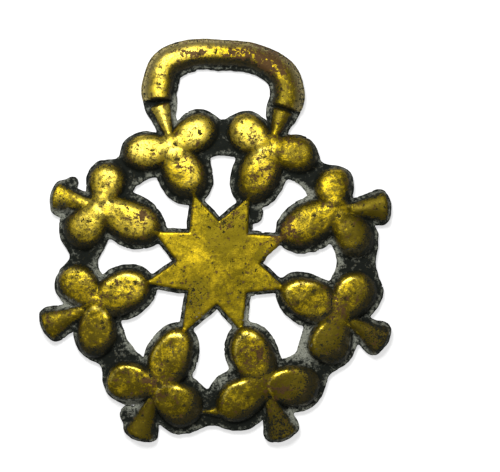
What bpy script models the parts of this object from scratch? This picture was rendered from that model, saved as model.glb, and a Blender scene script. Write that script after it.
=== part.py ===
"""Horse brass: a cast brass harness badge, lying on its flat back, face up.

An eight-pointed star stands in a ring of eight trefoils, and a bar for the strap rises from
the two top trefoils. It is all one casting, so it is one solid: a pierced plate, and relief
forms that a Boolean union melts into it. Sizes are in millimetres and turns in degrees.
The origin is the star's centre on the flat back, +Y points to the hanger and +X to the
right of someone who looks at the face.
"""
import math
from collections import namedtuple

import bmesh
import bpy
import numpy as np
from mathutils import Vector
from mathutils.geometry import delaunay_2d_cdt

MM = 0.001

# Heights above the flat back
PLATE_THICKNESS = 2.0
STAR_HEIGHT = 3.1
JUNCTION_HEIGHT = 4.0
LEAF_HEIGHT = 4.6
STEM_HEIGHT = 3.7
BAR_HEIGHT = 4.7
WEB_HEIGHT = 3.1
# How far below the plate's face the relief forms are rooted
ROOT_DEPTH = 1.1
# How high above the plate's face the swell of a form starts, and how full its section is:
# 2 is an ellipse and more is squarer
FLANK = 0.25
FULLNESS = 2.4

# The star
NOTCH_RADIUS = 8.85
NOTCH_TURN = -1.5
TIP_LAP = 0.6
STAR_CHAMFER = 0.35
STAR_LEDGE = 0.75
STAR_BLEND = 1.0
# The ledge is nearly gone on one side of one spoke
THIN_BEARING = 10.0
THIN_SPREAD = 9.0
THIN_LOSS = 0.65

# The trefoils: where three leaves and a stem meet, and their sizes
RING_RADIUS = 27.4
INNER_LENGTH = 12.4
INNER_HALF_WIDTH = 3.9
INNER_LEDGE = 1.8
SIDE_LENGTH = 10.0
SIDE_HALF_WIDTH = 3.75
SIDE_LEDGE = 1.0
SIDE_ANGLE = 76.0
SIDE_TAPER = 0.12
LEAF_START = 0.6
JUNCTION_RADIUS = 2.5

# The stems that flare outwards from the trefoils
STEM_LENGTH = 11.5
STEM_END_WIDTH = 8.0
STEM_NECK_WIDTH = 2.2
STEM_END_ARC = 6.5
STEM_FLARE = 1.8
STEM_LEDGE = 0.9
STEM_END_LEDGE = 0.27

# The hanger
HANGER_RISE = 10.2
BAR_WIDTH = 6.3
LEG_WIDTH = 7.2
BAR_LEDGE = 0.55
BAR_OFFSET = 0.35
GROOVE = 0.9
STRAP_FLAT_LENGTH = 7.0
STRAP_FLAT_DEPTH = 0.05

# The webs that join neighbouring trefoils: their ends lie on the side leaves, at a share of
# the leaf. A raised web's ridge is narrower than its web by a ledge on each side
WEB_HALF_WIDTH = 3.3
WEB_END_SHARE = 0.55
WEB_LEDGE = 0.8
# How softly the plate's outlines run together
WEB_BLEND = 2.4
PLATE_BLEND = 1.6

# How finely the plate's outline is traced
TRACE_STEP = 0.35
TRACE_TOLERANCE = 0.07
# How many points the bar's centre line has in the plate's outline, and in its own surface
BAR_TRACE_POINTS = 61
BAR_POINTS = 29
# How many columns the sections of the bar and the stems have, and how many rows a stem has
SECTION_POINTS = 9
STEM_ROWS = 7
LEAF_SEGMENTS = 16
BOSS_SEGMENTS = 12
DOME_RINGS = 8
# Neighbouring facets that differ by less than this many degrees become one
FLAT_ANGLE = 1.0

Leaf = namedtuple("Leaf", "turn length ledge")
Stem = namedtuple("Stem", "turn length width")
Trefoil = namedtuple("Trefoil", "bearing reach inner clockwise counter stem")

# The pattern was carved by eye, so each trefoil has its own bearing, its own share of the
# ring's radius, and turns and shares of length and ledge for its inner, clockwise and
# counter-clockwise leaves. A stem has a turn and shares of length and end width.
TREFOILS = {
    "right_upper": Trefoil(23.4, 0.994, Leaf(3.6, 0.98, 1.0), Leaf(-5, 1.1, 0.6),
                           Leaf(-2, 0.92, 0.7), Stem(-18, 0.99, 1.0)),
    "top_right": Trefoil(65.4, 0.963, Leaf(1.6, 0.92, 1.1), Leaf(-2, 0.99, 0.4),
                         Leaf(4, 0.97, 0.9), Stem(6, 0.78, 0.62)),
    "top_left": Trefoil(111.4, 0.94, Leaf(2.6, 0.86, 1.1), Leaf(0, 1.04, 1.0),
                        Leaf(1, 1.06, 0.8), Stem(-4, 0.88, 0.62)),
    "left_upper": Trefoil(154.6, 0.994, Leaf(0.4, 1.02, 1.0), Leaf(0, 0.94, 0.8),
                          Leaf(1, 0.98, 1.6), Stem(13, 0.95, 1.0)),
    "left_lower": Trefoil(199.1, 1.0, Leaf(5, 0.95, 1.0), Leaf(9, 0.95, 1.2),
                          Leaf(-2, 1.06, 1.2), Stem(5, 1.06, 1.0)),
    "bottom_left": Trefoil(244.0, 1.068, Leaf(1, 1.02, 0.95), Leaf(1, 1.04, 1.2),
                           Leaf(2, 1.0, 2.2), Stem(5, 1.04, 1.0)),
    "bottom_right": Trefoil(291.0, 1.017, Leaf(2.5, 1.0, 1.0), Leaf(-7, 1.03, 2.6),
                            Leaf(-7, 1.06, 1.8), Stem(-1, 1.06, 1.0)),
    "right_lower": Trefoil(336.3, 1.028, Leaf(-3.3, 1.06, 0.9), Leaf(-13, 0.98, 2.0),
                           Leaf(6, 0.96, 1.9), Stem(-7, 0.99, 1.0)),
}
# The web after each trefoil, going round counter-clockwise: how far it is shifted outwards,
# how much wider to each side than WEB_HALF_WIDTH it is, and whether it has a raised ridge
Web = namedtuple("Web", "shift extra raised")
WEBS = {
    "right_upper": Web(-0.9, 0.0, False),
    "top_right": Web(-0.9, 0.3, False),
    "top_left": Web(-0.8, 0.0, False),
    "left_upper": Web(-0.2, -0.5, False),
    "left_lower": Web(-0.4, 0.5, False),
    "bottom_left": Web(2.3, -0.3, True),
    "bottom_right": Web(0.4, 0.8, False),
    "right_lower": Web(1.0, 0.8, False),
}
# Lumps of casting flash beside the stems and in an opening: bearing, share of the ring's
# radius, and radius
FLASH = [(52.3, 0.464, 1.7), (151.2, 1.286, 1.3), (239.2, 1.366, 1.8)]
# The bar's centre line: sideways as a share of half the distance between its feet, upwards
# as a share of the hanger's rise, and where the bar's width lies from bar (0) to leg (1)
BAR_LINE = [(-0.98, 0.0, 0.9), (-0.98, 0.25, 1.3), (-0.86, 0.69, 1.1), (-0.52, 0.92, 0.6),
            (-0.05, 0.98, 0.1), (0.51, 0.93, 0.0), (0.93, 0.65, 0.6), (1.04, 0.22, 1.3),
            (0.99, -0.05, 1.1)]

LeafForm = namedtuple("LeafForm", "name root angle reach half_width taper ledge")
StemForm = namedtuple("StemForm", "name root angle reach half_width")


def heading(degrees):
    """Unit vector at an angle counter-clockwise from +X."""
    return np.array([math.cos(math.radians(degrees)), math.sin(math.radians(degrees))])


def junction(trefoil):
    """Where a trefoil's leaves and stem meet."""
    return RING_RADIUS * trefoil.reach * heading(trefoil.bearing)


def leaf_forms():
    """The 24 leaves: root at the junction, direction, reach, half width and ledge."""
    forms = []
    for name, trefoil in TREFOILS.items():
        root = junction(trefoil)
        inner, clockwise, counter = trefoil.inner, trefoil.clockwise, trefoil.counter
        forms.append(LeafForm(name + "_inner", root, trefoil.bearing + 180 + inner.turn,
                              INNER_LENGTH * inner.length, INNER_HALF_WIDTH, 0.0,
                              INNER_LEDGE * inner.ledge))
        for side, leaf, sign in (("clockwise", clockwise, -1), ("counter", counter, 1)):
            forms.append(LeafForm(name + "_" + side, root,
                                  trefoil.bearing + sign * SIDE_ANGLE + leaf.turn,
                                  SIDE_LENGTH * leaf.length, SIDE_HALF_WIDTH, SIDE_TAPER,
                                  SIDE_LEDGE * leaf.ledge))
    return forms


def stem_forms():
    """The eight stems, one out of each trefoil."""
    return [StemForm(name, junction(trefoil), trefoil.bearing + trefoil.stem.turn,
                     STEM_LENGTH * trefoil.stem.length,
                     0.5 * STEM_END_WIDTH * trefoil.stem.width)
            for name, trefoil in TREFOILS.items()]


LEAVES = leaf_forms()
STEMS = stem_forms()


def along(form, distance):
    """A point on a form's axis, at a distance from its root."""
    return form.root + distance * heading(form.angle)


def local(form, x, y):
    """Plan coordinates along and across a form's axis."""
    ahead = heading(form.angle)
    dx, dy = x - form.root[0], y - form.root[1]
    return dx * ahead[0] + dy * ahead[1], dy * ahead[0] - dx * ahead[1]


def soft_min(a, b, width):
    """The smaller of two distances, with a fillet where they cross."""
    overlap = np.maximum(width - np.abs(a - b), 0.0) / width
    return np.minimum(a, b) - 0.25 * width * overlap * overlap


def soft_max(a, b, width):
    """The larger of two distances, with a rounded corner where they cross."""
    return -soft_min(-a, -b, width)


def leaf_distance(form, x, y):
    """Distance to a leaf's oval footprint: an ellipse, wider towards its far end."""
    u, v = local(form, x, y)
    half_length = 0.5 * (form.reach - LEAF_START)
    across = u - LEAF_START - half_length
    unit_u = across / half_length
    unit_v = v / (form.half_width * (1 + form.taper * np.clip(unit_u, -1, 1)))
    radius = np.hypot(unit_u, unit_v) + 1e-9
    slope = np.hypot(unit_u / half_length, unit_v / form.half_width) + 1e-9
    return (radius - 1) * radius / slope


def stem_half_width(form, u):
    """Half width of a stem: narrow at the neck and flared at the end."""
    share = np.clip(u / form.reach, 0, 1.2)
    neck = 0.5 * STEM_NECK_WIDTH
    return neck + (form.half_width - neck) * share ** STEM_FLARE


def stem_distance(form, x, y, side_ledge, end_ledge):
    """Distance to a stem's fan with its convex end, grown by a ledge at its sides and end."""
    u, v = local(form, x, y)
    flare = STEM_FLARE * form.half_width / form.reach
    side = (np.abs(v) - stem_half_width(form, u) - side_ledge) / math.hypot(1, 0.5 * flare)
    end = np.hypot(u - (form.reach - STEM_END_ARC), v) - STEM_END_ARC - end_ledge
    return np.maximum(soft_max(side, end, PLATE_BLEND), -u)


def capsule_distance(x, y, start, end, radius_start, radius_end):
    """Distance to a straight bar with round ends."""
    ex, ey = end[0] - start[0], end[1] - start[1]
    share = ((x - start[0]) * ex + (y - start[1]) * ey) / (ex * ex + ey * ey)
    share = np.clip(share, 0, 1)
    radius = radius_start + (radius_end - radius_start) * share
    return np.hypot(x - start[0] - ex * share, y - start[1] - ey * share) - radius


def polygon_distance(x, y, corners):
    """Distance to a polygon, negative inside."""
    nearest = np.full(x.shape, 1e9)
    sign = np.ones(x.shape)
    for (ax, ay), (bx, by) in zip(corners, np.roll(corners, 1, axis=0)):
        ex, ey = bx - ax, by - ay
        wx, wy = x - ax, y - ay
        share = np.clip((wx * ex + wy * ey) / (ex * ex + ey * ey), 0, 1)
        nearest = np.minimum(nearest, (wx - ex * share) ** 2 + (wy - ey * share) ** 2)
        above, below, left = y >= ay, y < by, ex * wy > ey * wx
        sign = np.where((above & below & left) | ~(above | below | left), -sign, sign)
    return sign * np.sqrt(nearest)


def star_corners():
    """The star's outline: each tip laps its trefoil's inner leaf, with notches between."""
    corners = []
    for index, name in enumerate(TREFOILS):
        inner = next(form for form in LEAVES if form.name == name + "_inner")
        corners.append(along(inner, inner.reach - TIP_LAP))
        corners.append(NOTCH_RADIUS * heading(45 * (index + 1) + NOTCH_TURN))
    return np.array(corners)


def star_ledge(x, y):
    """The ledge round the star, thin on one side of one spoke."""
    off = (np.degrees(np.arctan2(y, x)) - THIN_BEARING) / THIN_SPREAD
    return STAR_LEDGE - THIN_LOSS * np.exp(-off * off)


def web_lines():
    """The webs: from a trefoil's counter-clockwise leaf to the next one's clockwise leaf."""
    names = list(TREFOILS)
    forms = {form.name: form for form in LEAVES}
    lines = {}
    for name, following in zip(names, names[1:] + names[:1]):
        web = WEBS[name]
        start = forms[name + "_counter"]
        end = forms[following + "_clockwise"]
        a = along(start, WEB_END_SHARE * start.reach)
        b = along(end, WEB_END_SHARE * end.reach)
        outwards = (a + b) / np.linalg.norm(a + b)
        lines[name] = (a + web.shift * outwards, b + web.shift * outwards,
                       WEB_HALF_WIDTH + web.extra)
    return lines


def leg_feet():
    """The hanger's feet: beyond the ends of the two top stems, past the grooves."""
    stems = {form.name: form for form in STEMS}
    return [along(stems[name], stems[name].reach + GROOVE)
            for name in ("top_left", "top_right")]


def bar_line(count):
    """The bar's centre line as a smooth curve: points, and the plate's half widths."""
    left, right = leg_feet()
    middle, sideways = 0.5 * (left + right), 0.5 * (right - left)
    shares = np.array(BAR_LINE)
    knots = np.empty((len(shares), 3))
    knots[:, 0] = middle[0] + shares[:, 0] * sideways[0]
    knots[:, 1] = middle[1] + shares[:, 0] * sideways[1] + shares[:, 1] * HANGER_RISE
    knots[:, 2] = 0.5 * (BAR_WIDTH + (LEG_WIDTH - BAR_WIDTH) * shares[:, 2])
    padded = np.vstack([2 * knots[0] - knots[1], knots, 2 * knots[-1] - knots[-2]])
    places = np.linspace(0, len(knots) - 1, count)
    span = np.minimum(places.astype(int), len(knots) - 2)
    t = (places - span)[:, None]
    p0, p1, p2, p3 = (padded[span + step] for step in range(4))
    curve = 0.5 * (2 * p1 + (p2 - p0) * t + (2 * p0 - 5 * p1 + 4 * p2 - p3) * t ** 2
                   + (3 * p1 - p0 - 3 * p2 + p3) * t ** 3)
    return curve[:, :2], curve[:, 2]


def strap_flat():
    """Middle and height of the flat that the strap has worn under the bar."""
    points, half_widths = bar_line(BAR_TRACE_POINTS)
    top = int(np.argmax(points[:, 1] - half_widths))
    return points[top, 0], points[top, 1] - half_widths[top] + STRAP_FLAT_DEPTH


def plate_distance(x, y):
    """Distance to the plate's pierced outline: everything below joined with fillets."""
    distance = np.full(x.shape, 1e3)
    for form in LEAVES:
        distance = soft_min(distance, leaf_distance(form, x, y) - form.ledge, PLATE_BLEND)
    for start, end, radius in web_lines().values():
        web = capsule_distance(x, y, start, end, radius, radius)
        distance = soft_min(distance, web, WEB_BLEND)
    for bearing, reach, radius in FLASH:
        centre = RING_RADIUS * reach * heading(bearing)
        blob = np.hypot(x - centre[0], y - centre[1]) - radius
        distance = soft_min(distance, blob, PLATE_BLEND)
    star = polygon_distance(x, y, star_corners()) - star_ledge(x, y)
    distance = soft_min(distance, star, STAR_BLEND)
    for form in STEMS:
        distance = soft_min(distance, stem_distance(form, x, y, STEM_LEDGE, STEM_END_LEDGE),
                            PLATE_BLEND)
    points, half_widths = bar_line(BAR_TRACE_POINTS)
    bar = np.full(x.shape, 1e3)
    for index in range(len(points) - 1):
        piece = capsule_distance(x, y, points[index], points[index + 1],
                                 half_widths[index], half_widths[index + 1])
        bar = np.minimum(bar, piece)
    distance = soft_min(distance, bar, PLATE_BLEND)
    flat_x, flat_y = strap_flat()
    worn = np.maximum(np.abs(x - flat_x) - 0.5 * STRAP_FLAT_LENGTH,
                      np.abs(y - flat_y + 0.5 * BAR_WIDTH) - 0.5 * BAR_WIDTH)
    return np.maximum(distance, -worn)


def trace_loops(distance, xs, ys):
    """Closed outlines where the distance crosses zero, found cell by cell."""
    inside = distance < 0
    links = {}

    def crossing(a, b):
        share = distance[a] / (distance[a] - distance[b])
        return (xs[a[0]] + share * (xs[b[0]] - xs[a[0]]),
                ys[a[1]] + share * (ys[b[1]] - ys[a[1]]))

    mixed = (inside[:-1, :-1].astype(int) + inside[1:, :-1] + inside[1:, 1:] + inside[:-1, 1:])
    for i, j in np.argwhere((mixed > 0) & (mixed < 4)).tolist():
        ring = [(i, j), (i + 1, j), (i + 1, j + 1), (i, j + 1)]
        cut = [tuple(sorted((ring[k], ring[(k + 1) % 4]))) for k in range(4)
               if inside[ring[k]] != inside[ring[(k + 1) % 4]]]
        if len(cut) == 4:
            centre = sum(distance[corner] for corner in ring) < 0
            if bool(centre) == bool(inside[ring[0]]):
                pairs = [(cut[0], cut[1]), (cut[2], cut[3])]
            else:
                pairs = [(cut[3], cut[0]), (cut[1], cut[2])]
        else:
            pairs = [(cut[0], cut[1])]
        for first, second in pairs:
            links.setdefault(first, []).append(second)
            links.setdefault(second, []).append(first)
    loops = []
    while links:
        start = min(links)
        loop, here, before = [], start, None
        while here in links:
            loop.append(crossing(*here))
            onward = links.pop(here)
            ahead = [edge for edge in onward if edge != before and edge in links]
            before, here = here, (ahead[0] if ahead else None)
        loops.append(np.array(loop))
    return loops


def simplify(loop, tolerance):
    """Drops the points of a closed outline that lie within a tolerance of its chords."""
    far = int(np.argmax(np.hypot(*(loop - loop[0]).T)))
    keep = {0, far}
    closed = np.vstack([loop, loop[:1]])
    stack = [(0, far), (far, len(loop))]
    while stack:
        first, last = stack.pop()
        if last - first < 2:
            continue
        chord = closed[last] - closed[first]
        offset = closed[first + 1:last] - closed[first]
        size = max(np.hypot(*chord), 1e-9)
        gap = np.abs(chord[0] * offset[:, 1] - chord[1] * offset[:, 0]) / size
        worst = int(np.argmax(gap))
        if gap[worst] > tolerance:
            middle = first + 1 + worst
            keep.add(middle)
            stack += [(first, middle), (middle, last)]
    return loop[sorted(keep)]


def plate_loops():
    """The plate's outer outline and the outlines of its openings."""
    reach = RING_RADIUS + STEM_LENGTH + HANGER_RISE + 2 * BAR_WIDTH
    steps = np.arange(-reach, reach + TRACE_STEP, TRACE_STEP)
    x, y = np.meshgrid(steps, steps, indexing="ij")
    return [simplify(loop, TRACE_TOLERANCE)
            for loop in trace_loops(plate_distance(x, y), steps, steps)]


def new_object(name, mesh, collection):
    """Links a mesh to the scene under its name."""
    obj = bpy.data.objects.new(name, mesh)
    collection.objects.link(obj)
    return obj


def mesh_from(bm, name):
    """Turns a bmesh in millimetres into a mesh in metres, faces outwards."""
    bmesh.ops.scale(bm, vec=(MM, MM, MM), verts=bm.verts)
    bmesh.ops.recalc_face_normals(bm, faces=bm.faces)
    mesh = bpy.data.meshes.new(name)
    bm.to_mesh(mesh)
    bm.free()
    return mesh


def make_plate(collection):
    """The pierced plate: its outlines filled flat and extruded up from the back."""
    points, edges = [], []
    for loop in plate_loops():
        first = len(points)
        points += [Vector(point) for point in loop]
        edges += [(first + k, first + (k + 1) % len(loop)) for k in range(len(loop))]
    verts, _, faces, *_ = delaunay_2d_cdt(points, edges, [], 0, 1e-6)
    flat = np.array([vert[:] for vert in verts])
    corners = np.array(faces)
    centres = flat[corners].mean(axis=1)
    on_metal = plate_distance(centres[:, 0], centres[:, 1]) < 0
    bm = bmesh.new()
    made = [bm.verts.new((x, y, 0.0)) for x, y in flat]
    for face in corners[on_metal]:
        bm.faces.new([made[k] for k in face])
    bmesh.ops.delete(bm, geom=[vert for vert in bm.verts if not vert.link_faces], context="VERTS")
    top = bmesh.ops.extrude_face_region(bm, geom=bm.faces[:])["geom"]
    raised = [item for item in top if isinstance(item, bmesh.types.BMVert)]
    bmesh.ops.translate(bm, vec=(0, 0, PLATE_THICKNESS), verts=raised)
    return new_object("horse_brass", mesh_from(bm, "horse_brass"), collection)


def make_dome(name, root, angle, middle, half_length, half_width, taper, height, collection,
              segments=LEAF_SEGMENTS):
    """An oval dome: a sphere stretched along its axis, tapered, and rooted in the plate."""
    bm = bmesh.new()
    bmesh.ops.create_uvsphere(bm, u_segments=segments, v_segments=DOME_RINGS, radius=1.0)
    base = PLATE_THICKNESS + FLANK
    for vert in bm.verts:
        x, y, z = vert.co
        vert.co.x = middle + half_length * x
        vert.co.y = half_width * (1 + taper * x) * y
        vert.co.z = base + (height - base if z > 0 else FLANK + ROOT_DEPTH) * z
    dome = new_object(name, mesh_from(bm, name), collection)
    dome.location = (root[0] * MM, root[1] * MM, 0.0)
    dome.rotation_euler.z = math.radians(angle)
    return dome


def make_slab(name, top, collection):
    """A solid under a grid of points: its top, sides and a flat root inside the plate."""
    bottom = top.copy()
    bottom[:, :, 2] = PLATE_THICKNESS - ROOT_DEPTH
    rows, columns = top.shape[:2]
    bm = bmesh.new()
    upper = [[bm.verts.new(top[i, j]) for j in range(columns)] for i in range(rows)]
    lower = [[bm.verts.new(bottom[i, j]) for j in range(columns)] for i in range(rows)]
    for i in range(rows - 1):
        for j in range(columns - 1):
            bm.faces.new((upper[i][j], upper[i + 1][j], upper[i + 1][j + 1], upper[i][j + 1]))
            bm.faces.new((lower[i][j], lower[i][j + 1], lower[i + 1][j + 1], lower[i + 1][j]))
    rim = ([(i, 0) for i in range(rows)] + [(rows - 1, j) for j in range(1, columns)]
           + [(i, columns - 1) for i in range(rows - 2, -1, -1)]
           + [(0, j) for j in range(columns - 2, 0, -1)])
    for (i, j), (k, m) in zip(rim, rim[1:] + rim[:1]):
        bm.faces.new((upper[i][j], lower[i][j], lower[k][m], upper[k][m]))
    return new_object(name, mesh_from(bm, name), collection)


def swell(across, height):
    """Height of a rounded section, from its foot at across = -1 and 1 to its crown."""
    foot = PLATE_THICKNESS + FLANK
    return foot + (height - foot) * (1 - np.abs(across) ** FULLNESS) ** (1 / FULLNESS)


def make_leaves(collection):
    """The 24 leaves and the eight bosses where they meet."""
    for form in LEAVES:
        half_length = 0.5 * (form.reach - LEAF_START)
        make_dome("leaf_" + form.name, form.root, form.angle, LEAF_START + half_length,
                  half_length, form.half_width, form.taper, LEAF_HEIGHT, collection)
    for name, trefoil in TREFOILS.items():
        make_dome("boss_" + name, junction(trefoil), trefoil.bearing, 0.0, JUNCTION_RADIUS,
                  JUNCTION_RADIUS, 0.0, JUNCTION_HEIGHT, collection, segments=BOSS_SEGMENTS)


def make_stems(collection):
    """The stems: a rounded section that widens to a convex end."""
    across = np.linspace(-1, 1, SECTION_POINTS)
    shares = np.linspace(0, 1, STEM_ROWS)
    for form in STEMS:
        u = form.reach * shares[:, None] * np.ones(len(across))
        v = stem_half_width(form, u) * across
        bulge = STEM_END_ARC - np.sqrt(STEM_END_ARC ** 2 - v * v)
        u = u - bulge * shares[:, None] ** 2
        ahead = heading(form.angle)
        top = np.empty(u.shape + (3,))
        top[:, :, 0] = form.root[0] + u * ahead[0] - v * ahead[1]
        top[:, :, 1] = form.root[1] + u * ahead[1] + v * ahead[0]
        top[:, :, 2] = swell(across, STEM_HEIGHT)[None, :]
        make_slab("stem_" + form.name, top, collection)


def make_bar(collection):
    """The hanger's rounded bar, set back from the plate's edge by its ledge."""
    points, half_widths = bar_line(BAR_POINTS)
    tangent = np.gradient(points, axis=0)
    tangent /= np.linalg.norm(tangent, axis=1)[:, None]
    outward = np.stack([-tangent[:, 1], tangent[:, 0]], axis=1)
    across = np.linspace(-1, 1, SECTION_POINTS)
    offset = BAR_OFFSET + across * (half_widths - BAR_LEDGE)[:, None]
    top = np.empty(offset.shape + (3,))
    top[:, :, :2] = points[:, None, :] + offset[:, :, None] * outward[:, None, :]
    top[:, :, 2] = swell(across, BAR_HEIGHT)[None, :]
    make_slab("bar", top, collection)


def make_star(collection):
    """The star: a flat-topped block with a chamfered edge."""
    bm = bmesh.new()
    root = PLATE_THICKNESS - ROOT_DEPTH
    base = bm.faces.new([bm.verts.new((x, y, root)) for x, y in star_corners()])
    top = bmesh.ops.extrude_face_region(bm, geom=[base])["geom"]
    verts = [item for item in top if isinstance(item, bmesh.types.BMVert)]
    faces = [item for item in top if isinstance(item, bmesh.types.BMFace)]
    bmesh.ops.translate(bm, vec=(0, 0, STAR_HEIGHT - STAR_CHAMFER - root), verts=verts)
    bmesh.ops.inset_region(bm, faces=faces, thickness=STAR_CHAMFER, use_even_offset=True)
    bmesh.ops.translate(bm, vec=(0, 0, STAR_CHAMFER), verts=faces[0].verts)
    new_object("star", mesh_from(bm, "star"), collection)


def make_raised_webs(collection):
    """Ridges on the webs that stand above the plate."""
    for name, (start, end, radius) in web_lines().items():
        if WEBS[name].raised:
            run = end - start
            angle = math.degrees(math.atan2(run[1], run[0]))
            make_dome("web_" + name, 0.5 * (start + end), angle, 0.0,
                      0.5 * np.linalg.norm(run), radius - WEB_LEDGE, 0.0, WEB_HEIGHT, collection)


def brass_material():
    """Polished brass, dulled by handling."""
    material = bpy.data.materials.new("brass")
    material.use_nodes = True
    shader = material.node_tree.nodes["Principled BSDF"]
    shader.inputs["Base Color"].default_value = (0.56, 0.42, 0.11, 1.0)
    shader.inputs["Metallic"].default_value = 1.0
    shader.inputs["Roughness"].default_value = 0.35
    return material


def main():
    for obj in list(bpy.data.objects):
        bpy.data.objects.remove(obj)
    scene_collection = bpy.context.scene.collection
    relief = bpy.data.collections.new("relief_forms")
    scene_collection.children.link(relief)
    make_leaves(relief)
    make_stems(relief)
    make_raised_webs(relief)
    make_star(relief)
    make_bar(relief)
    for form in relief.objects:
        form.hide_render = True
        form.display_type = "WIRE"
    plate = make_plate(scene_collection)
    union = plate.modifiers.new("relief", "BOOLEAN")
    union.operation = "UNION"
    union.operand_type = "COLLECTION"
    union.collection = relief
    union.solver = "EXACT"
    flatten = plate.modifiers.new("flatten", "DECIMATE")
    flatten.decimate_type = "DISSOLVE"
    flatten.angle_limit = math.radians(FLAT_ANGLE)
    plate.data.materials.append(brass_material())


if __name__ == "__main__":
    main()
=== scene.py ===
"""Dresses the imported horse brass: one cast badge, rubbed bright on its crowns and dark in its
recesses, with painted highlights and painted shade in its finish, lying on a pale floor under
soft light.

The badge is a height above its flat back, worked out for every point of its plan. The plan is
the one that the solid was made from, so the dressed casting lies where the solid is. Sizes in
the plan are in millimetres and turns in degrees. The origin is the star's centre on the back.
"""
import math
from collections import namedtuple

import bpy
import numpy as np
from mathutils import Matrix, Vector
from mathutils.geometry import delaunay_2d_cdt


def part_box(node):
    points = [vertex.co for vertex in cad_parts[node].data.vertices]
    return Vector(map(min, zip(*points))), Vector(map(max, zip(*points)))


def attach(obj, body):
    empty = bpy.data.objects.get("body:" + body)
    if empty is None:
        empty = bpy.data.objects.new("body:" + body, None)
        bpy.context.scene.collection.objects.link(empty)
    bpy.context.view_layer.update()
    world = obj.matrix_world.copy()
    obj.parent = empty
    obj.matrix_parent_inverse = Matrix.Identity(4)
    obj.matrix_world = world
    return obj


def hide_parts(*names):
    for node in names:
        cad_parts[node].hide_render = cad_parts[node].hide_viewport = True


bl_info = {
    "name": "Horse brass",
    "version": (1, 0, 0),
    "blender": (4, 5, 0),
    "location": "View3D > Sidebar > Horse brass",
    "description": "A cast brass harness badge with a star in a ring of trefoils",
    "category": "Add Mesh",
}

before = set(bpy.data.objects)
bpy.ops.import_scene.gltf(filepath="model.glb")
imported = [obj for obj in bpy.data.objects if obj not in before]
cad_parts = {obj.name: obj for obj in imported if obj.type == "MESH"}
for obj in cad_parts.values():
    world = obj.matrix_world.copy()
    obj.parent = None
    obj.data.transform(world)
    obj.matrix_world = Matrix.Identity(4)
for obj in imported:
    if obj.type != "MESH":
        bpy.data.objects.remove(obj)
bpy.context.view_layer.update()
CAD_LOW, CAD_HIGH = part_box("horse_brass")
BODY = "root"
MM = 0.001

# The plan, as the solid has it. Heights above the flat back, how high above the plate's face
# a form's swell starts, and how full its section is: 2 is an ellipse and more is squarer
PLATE_THICKNESS = 2.0
STAR_HEIGHT = 3.1
JUNCTION_HEIGHT = 4.0
STEM_HEIGHT = 3.7
BAR_HEIGHT = 4.7
WEB_HEIGHT = 3.1
FLANK = 0.25
FULLNESS = 2.4

# The star, and its ledge, which is nearly gone on one side of one spoke
NOTCH_RADIUS = 8.85
NOTCH_TURN = -1.5
TIP_LAP = 0.6
STAR_LEDGE = 0.75
STAR_BLEND = 1.0
THIN_BEARING = 10.0
THIN_SPREAD = 9.0
THIN_LOSS = 0.65

# The trefoils: where three leaves and a stem meet, and the leaves' sizes
RING_RADIUS = 27.4
INNER_LENGTH = 12.4
INNER_HALF_WIDTH = 3.9
INNER_LEDGE = 1.8
SIDE_LENGTH = 10.0
SIDE_HALF_WIDTH = 3.75
SIDE_LEDGE = 1.0
SIDE_ANGLE = 76.0
SIDE_TAPER = 0.12
LEAF_START = 0.6
JUNCTION_RADIUS = 2.5

# The stems that flare outwards from the trefoils
STEM_LENGTH = 11.5
STEM_END_WIDTH = 8.0
STEM_NECK_WIDTH = 2.2
STEM_END_ARC = 6.5
STEM_FLARE = 1.8
STEM_LEDGE = 0.9
STEM_END_LEDGE = 0.27

# The hanger's bar and legs, the grooves at its feet, and the flat that a strap has worn
HANGER_RISE = 10.2
BAR_WIDTH = 6.3
LEG_WIDTH = 7.2
BAR_LEDGE = 0.55
BAR_OFFSET = 0.35
GROOVE = 0.9
STRAP_FLAT_LENGTH = 7.0
STRAP_FLAT_DEPTH = 0.05
BAR_POINTS = 61

# The webs from each trefoil to the next, and the widths of the plate's fillets
WEB_HALF_WIDTH = 3.3
WEB_END_SHARE = 0.55
WEB_LEDGE = 0.8
WEB_BLEND = 2.4
PLATE_BLEND = 1.6

# How each trefoil, web and stem differs from the common sizes, as turns in degrees and shares
Leaf = namedtuple("Leaf", "turn length ledge")
Stem = namedtuple("Stem", "turn length width")
Trefoil = namedtuple("Trefoil", "bearing reach inner clockwise counter stem")
TREFOILS = {
    "right_upper": Trefoil(23.4, 0.994, Leaf(3.6, 0.98, 1.0), Leaf(-5, 1.1, 0.6),
                           Leaf(-2, 0.92, 0.7), Stem(-18, 0.99, 1.0)),
    "top_right": Trefoil(65.4, 0.963, Leaf(1.6, 0.92, 1.1), Leaf(-2, 0.99, 0.4),
                         Leaf(4, 0.97, 0.9), Stem(6, 0.78, 0.62)),
    "top_left": Trefoil(111.4, 0.94, Leaf(2.6, 0.86, 1.1), Leaf(0, 1.04, 1.0),
                        Leaf(1, 1.06, 0.8), Stem(-4, 0.88, 0.62)),
    "left_upper": Trefoil(154.6, 0.994, Leaf(0.4, 1.02, 1.0), Leaf(0, 0.94, 0.8),
                          Leaf(1, 0.98, 1.6), Stem(13, 0.95, 1.0)),
    "left_lower": Trefoil(199.1, 1.0, Leaf(5, 0.95, 1.0), Leaf(9, 0.95, 1.2),
                          Leaf(-2, 1.06, 1.2), Stem(5, 1.06, 1.0)),
    "bottom_left": Trefoil(244.0, 1.068, Leaf(1, 1.02, 0.95), Leaf(1, 1.04, 1.2),
                           Leaf(2, 1.0, 2.2), Stem(5, 1.04, 1.0)),
    "bottom_right": Trefoil(291.0, 1.017, Leaf(2.5, 1.0, 1.0), Leaf(-7, 1.03, 2.6),
                            Leaf(-7, 1.06, 1.8), Stem(-1, 1.06, 1.0)),
    "right_lower": Trefoil(336.3, 1.028, Leaf(-3.3, 1.06, 0.9), Leaf(-13, 0.98, 2.0),
                           Leaf(6, 0.96, 1.9), Stem(-7, 0.99, 1.0)),
}
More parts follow.
